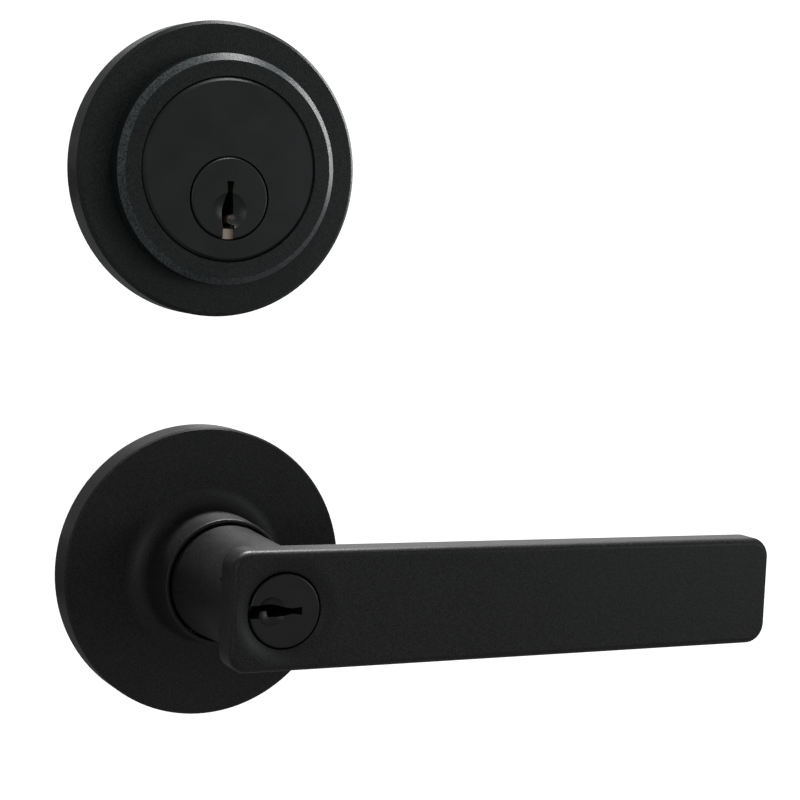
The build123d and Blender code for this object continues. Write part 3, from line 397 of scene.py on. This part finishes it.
def make_wire(name, path, axis, wire_r):
    """Round wire along a path of points that winds about axis."""
    last = len(path) - 1
    vertices = []
    for step, point in enumerate(path):
        along = (path[min(step + 1, last)] - path[max(step - 1, 0)]).normalized()
        up = (axis - axis.dot(along) * along).normalized()
        across = along.cross(up)
        for side in range(WIRE_SIDES):
            angle = 2 * math.pi * side / WIRE_SIDES
            vertices.append(point + wire_r * (math.cos(angle) * up + math.sin(angle) * across))
    first_end = tuple(reversed(range(WIRE_SIDES)))
    last_end = tuple(range(last * WIRE_SIDES, (last + 1) * WIRE_SIDES))
    faces = [first_end, last_end]
    for step in range(last):
        here, there = step * WIRE_SIDES, (step + 1) * WIRE_SIDES
        for side in range(WIRE_SIDES):
            beside = (side + 1) % WIRE_SIDES
            faces.append((here + side, here + beside, there + beside, there + side))
    return add_mesh(name, vertices, faces, STEEL_WIRE, smooth=True)


# steps in a turn of a bolt's spring, and how much closer its end coils lie than the rest
COIL_STEPS = 32
CLOSED_ENDS = 0.55


def make_bolt_spring(node, wire_r, turns):
    """Compression spring with its end coils lying closer than the rest; it keeps this shape and stays with
    the fixed trim.
    """
    low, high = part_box(node)
    centre = (low + high) / 2
    coil_r = (high.z - low.z) / 2 - wire_r
    run = high.x - low.x - 2 * wire_r
    path = []
    for step in range(turns * COIL_STEPS + 1):
        share = step / (turns * COIL_STEPS)
        angle = 2 * math.pi * turns * share
        x = low.x + wire_r + run * (share - CLOSED_ENDS * math.sin(2 * math.pi * share) / (2 * math.pi))
        path.append(Vector((x, centre.y + coil_r * math.cos(angle), centre.z + coil_r * math.sin(angle))))
    spring = make_wire(node + "_wire", path, Vector((1, 0, 0)), wire_r)
    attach(spring, "fixed_trim")
    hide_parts(node)
    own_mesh(spring)


RETURN_WIRE_R = 0.5 * MM
RETURN_COIL_R = 16.4 * MM
RETURN_LEG_X = 12.4 * MM
RETURN_BEND_R = 1.2 * MM
RETURN_TURNS = 1.5
RETURN_COIL_STEPS = 2 * COIL_STEPS
BEND_TURNS = [math.pi / 2 * step / 6 for step in range(7)]


def make_return_spring(node, outward):
    """Torsion spring of a lever, wound from an inner leg to an outer one; it keeps its shape.

    outward is -1 for the lever outside the door and 1 for the one inside.
    """
    low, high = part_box(node)
    inner_y = high.y - RETURN_WIRE_R if outward < 0 else low.y + RETURN_WIRE_R
    outer_y = low.y + RETURN_WIRE_R if outward < 0 else high.y - RETURN_WIRE_R
    path = [Vector((RETURN_LEG_X, inner_y, 0))]
    for turn in BEND_TURNS:
        x = RETURN_COIL_R - RETURN_BEND_R * (1 - math.sin(turn))
        path.append(Vector((x, inner_y, RETURN_BEND_R * (1 - math.cos(turn)))))
    bend_angle = RETURN_BEND_R / RETURN_COIL_R
    steps = int(RETURN_TURNS * RETURN_COIL_STEPS)
    total = 2 * math.pi * RETURN_TURNS
    for step in range(1, steps):
        angle = bend_angle + (total - 2 * bend_angle) * step / steps
        y = inner_y + (outer_y - inner_y) * step / steps
        path.append(Vector((RETURN_COIL_R * math.cos(angle), y, RETURN_COIL_R * math.sin(angle))))
    for turn in BEND_TURNS:
        x = -RETURN_COIL_R - RETURN_BEND_R * (1 - math.cos(turn))
        path.append(Vector((x, outer_y, RETURN_BEND_R * (1 - math.sin(turn)))))
    path.append(Vector((low.x, outer_y, 0)))
    spring = make_wire(node + "_wire", path, Vector((0, 1, 0)), RETURN_WIRE_R)
    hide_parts(node)
    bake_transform(spring)


make_bolt_spring("latch_spring", wire_r=0.4 * MM, turns=9)
make_bolt_spring("plunger_spring", wire_r=0.25 * MM, turns=9)
make_return_spring("outside_return_spring", outward=-1)
make_return_spring("inside_return_spring", outward=1)


# ---------------------------------------------------------------- stage, light and camera


STAGE_CLOUD = 60 * MM
STAGE_SHADE = 0.985


def plain_stage_material(name, colour, roughness, glow):
    s = Shader(name, 0.0, roughness, colour)
    shade = s.noise(STAGE_CLOUD, detail=2)
    s.colour(s.mix(shade, tuple(c * STAGE_SHADE for c in colour), colour))
    s.bsdf.inputs["Emission Color"].default_value = (1, 1, 1, 1)
    s.bsdf.inputs["Emission Strength"].default_value = glow
    return s.material


def one_sided_white(name):
    """White seen from the front of a card; nothing is seen from its back."""
    material = plain_stage_material(name, (0.86, 0.86, 0.86), 0.9, glow=1.0)
    tree = material.node_tree
    facing = tree.nodes.new("ShaderNodeNewGeometry")
    clear = tree.nodes.new("ShaderNodeBsdfTransparent")
    mix = tree.nodes.new("ShaderNodeMixShader")
    tree.links.new(facing.outputs["Backfacing"], mix.inputs[0])
    tree.links.new(tree.nodes["Principled BSDF"].outputs[0], mix.inputs[1])
    tree.links.new(clear.outputs[0], mix.inputs[2])
    tree.links.new(mix.outputs[0], tree.nodes["Material Output"].inputs["Surface"])
    return material


# the floor clears the levers at the end of their turn
FLOOR_Z = -115 * MM
FLOOR_REACH = 0.5
# the two halves of the backdrop meet beside the bores' centres
CARD_TOP = 350 * MM
CARD_LEFT, CARD_SPLIT, CARD_RIGHT = -350 * MM, -20 * MM, 350 * MM
CARD_Y = 0.9 * MM
BORE_R = 27 * MM
NOTCH_STEPS = 48


def make_floor():
    white = plain_stage_material("pale_floor", (0.88, 0.88, 0.87), 0.8, glow=0.3)
    corners = [(-1, -1), (1, -1), (1, 1), (-1, 1)]
    vertices = [(x * FLOOR_REACH, y * FLOOR_REACH, FLOOR_Z) for x, y in corners]
    floor = add_mesh("studio_floor", vertices, [(0, 1, 2, 3)], white)
    floor.visible_glossy = False
    floor.visible_diffuse = False


def make_card(name, far):
    """White card where the door's outside face would be, notched round both cross bores.

    Its outline runs so that both halves face the key side; from behind they are clear.
    """
    crossing = math.acos(CARD_SPLIT / BORE_R)
    sweep = -2 * crossing if far > CARD_SPLIT else 2 * (math.pi - crossing)
    outline = [(far, FLOOR_Z), (far, CARD_TOP), (CARD_SPLIT, CARD_TOP)]
    for centre_z in (DEADBOLT_Z, 0.0):
        angles = [crossing + sweep * step / NOTCH_STEPS for step in range(NOTCH_STEPS + 1)]
        outline += [(BORE_R * math.cos(a), centre_z + BORE_R * math.sin(a)) for a in angles]
    outline.append((CARD_SPLIT, FLOOR_Z))
    if far < CARD_SPLIT:
        outline.reverse()
    vertices = [(x, CARD_Y, z) for x, z in outline]
    card = add_mesh(name, vertices, [tuple(range(len(vertices)))], one_sided_white(name))
    return card


def make_backdrop():
    """White backdrop in two halves that only the camera sees, so it neither lights the set nor shades it."""
    for name, far in (("studio_backdrop_left", CARD_LEFT), ("studio_backdrop_right", CARD_RIGHT)):
        card = make_card(name, far)
        card.visible_glossy = False
        card.visible_diffuse = False
        card.visible_shadow = False


WHITE = (1, 1, 1)
COOL_WHITE = (0.93, 0.98, 1.0)
SET_CENTRE = (0.03, 0.0, 0.04)
ARM_TOP = (0.03, 0.0, 0.02)
DEADBOLT_CENTRE = (0.0, 0.0, DEADBOLT_Z)


def add_area_light(name, place, target, size, watts, colour=WHITE):
    """Rectangular lamp of size (width, height) in metres, turned from its place to its target."""
    data = bpy.data.lights.new(name, "AREA")
    data.shape = "RECTANGLE"
    data.size, data.size_y = size
    data.energy = watts
    data.color = colour
    lamp = bpy.data.objects.new(name, data)
    scene.collection.objects.link(lamp)
    lamp.location = place
    lamp.visible_camera = False
    lamp.rotation_mode = "QUATERNION"
    lamp.rotation_quaternion = (Vector(target) - Vector(place)).to_track_quat("-Z", "Y")
    return lamp


def link_objects(names, state, title):
    """A collection for light linking: its objects are the only ones taken, or the only ones left out."""
    linked = bpy.data.collections.new(title)
    for name in names:
        linked.objects.link(nodes[name])
    for entry in linked.collection_objects:
        entry.light_linking.link_state = state
    return linked


def make_split_lights():
    """Each half of the set has its own top light, so that the deadbolt leaves no shadow on the lever."""
    deadbolt = [name for name in nodes if name.startswith("deadbolt_") or name == "cylinder_guard_collar"]
    lever_strip = add_area_light("lever_strip", (0.18, 0.32, 0.95), ARM_TOP, size=(0.3, 0.06), watts=20.0)
    lever_strip.light_linking.receiver_collection = link_objects(deadbolt, "EXCLUDE", "unlit_deadbolt")
    lever_strip.light_linking.blocker_collection = link_objects(deadbolt, "EXCLUDE", "unshading_deadbolt")
    deadbolt_only = link_objects(deadbolt, "INCLUDE", "lit_deadbolt")
    strips = (
        ("deadbolt_top_strip", (0.25, -0.12, 0.9), (0.9, 0.14), 6.0),
        ("deadbolt_side_strip", (0.85, 0.18, 0.35), (0.12, 0.7), 5.0),
    )
    for name, place, size, watts in strips:
        lamp = add_area_light(name, place, DEADBOLT_CENTRE, size, watts)
        lamp.light_linking.receiver_collection = deadbolt_only


def make_lights():
    make_split_lights()
    softboxes = (
        ("right_softbox", (0.85, -0.8, 0.15), (0.4, 0.4), 1.35, COOL_WHITE),
        ("left_fill", (-0.9, -0.9, 0.3), (0.6, 0.6), 1.3, WHITE),
        ("back_softbox", (0.45, 0.9, 0.34), (0.8, 0.6), 1.15, WHITE),
    )
    for name, place, size, watts, colour in softboxes:
        add_area_light(name, place, SET_CENTRE, size, watts, colour)


WORLD_GREY = (0.5, 0.5, 0.5, 1)
WORLD_STRENGTH = 0.44


def make_world():
    """Dim grey light from all round; the camera sees it as plain white."""
    world = bpy.data.worlds.new("studio")
    scene.world = world
    world.use_nodes = True
    tree = world.node_tree
    light = tree.nodes["Background"]
    light.inputs["Color"].default_value = WORLD_GREY
    light.inputs["Strength"].default_value = WORLD_STRENGTH
    seen = tree.nodes.new("ShaderNodeBackground")
    seen.inputs["Color"].default_value = (1, 1, 1, 1)
    ray = tree.nodes.new("ShaderNodeLightPath")
    mix = tree.nodes.new("ShaderNodeMixShader")
    tree.links.new(ray.outputs["Is Camera Ray"], mix.inputs[0])
    tree.links.new(light.outputs[0], mix.inputs[1])
    tree.links.new(seen.outputs[0], mix.inputs[2])
    tree.links.new(mix.outputs[0], tree.nodes["World Output"].inputs["Surface"])


# fitted to the outline of the lever and its rose in the photo
CAMERA_YAW, CAMERA_PITCH, CAMERA_ROLL = (math.radians(a) for a in (25.75, 5.32, 2.6))
CAMERA_TARGET = Vector((51.13 * MM, 0.0, 37.33 * MM))
CAMERA_DISTANCE = 519.5 * MM
CAMERA_SENSOR, CAMERA_LENS = 36.0, 96.6
CAMERA_SHIFT = (0.0022, 0.0088)
CAMERA_CLIP = (0.01, 50)


def make_camera():
    """Seen from the upper left of the lever, slightly turned about the line of sight."""
    level = math.cos(CAMERA_PITCH)
    ahead = Vector((math.sin(CAMERA_YAW) * level, math.cos(CAMERA_YAW) * level, -math.sin(CAMERA_PITCH)))
    data = bpy.data.cameras.new("camera")
    data.sensor_width = CAMERA_SENSOR
    data.lens = CAMERA_LENS
    data.shift_x, data.shift_y = CAMERA_SHIFT
    data.clip_start, data.clip_end = CAMERA_CLIP
    camera = bpy.data.objects.new("camera", data)
    scene.collection.objects.link(camera)
    camera.location = CAMERA_TARGET - ahead * CAMERA_DISTANCE
    camera.rotation_mode = "QUATERNION"
    camera.rotation_quaternion = ahead.to_track_quat("-Z", "Y") @ Quaternion((0, 0, 1), CAMERA_ROLL)
    scene.camera = camera


make_floor()
make_backdrop()
make_lights()
make_world()
make_camera()
scene.view_settings.view_transform = "Standard"
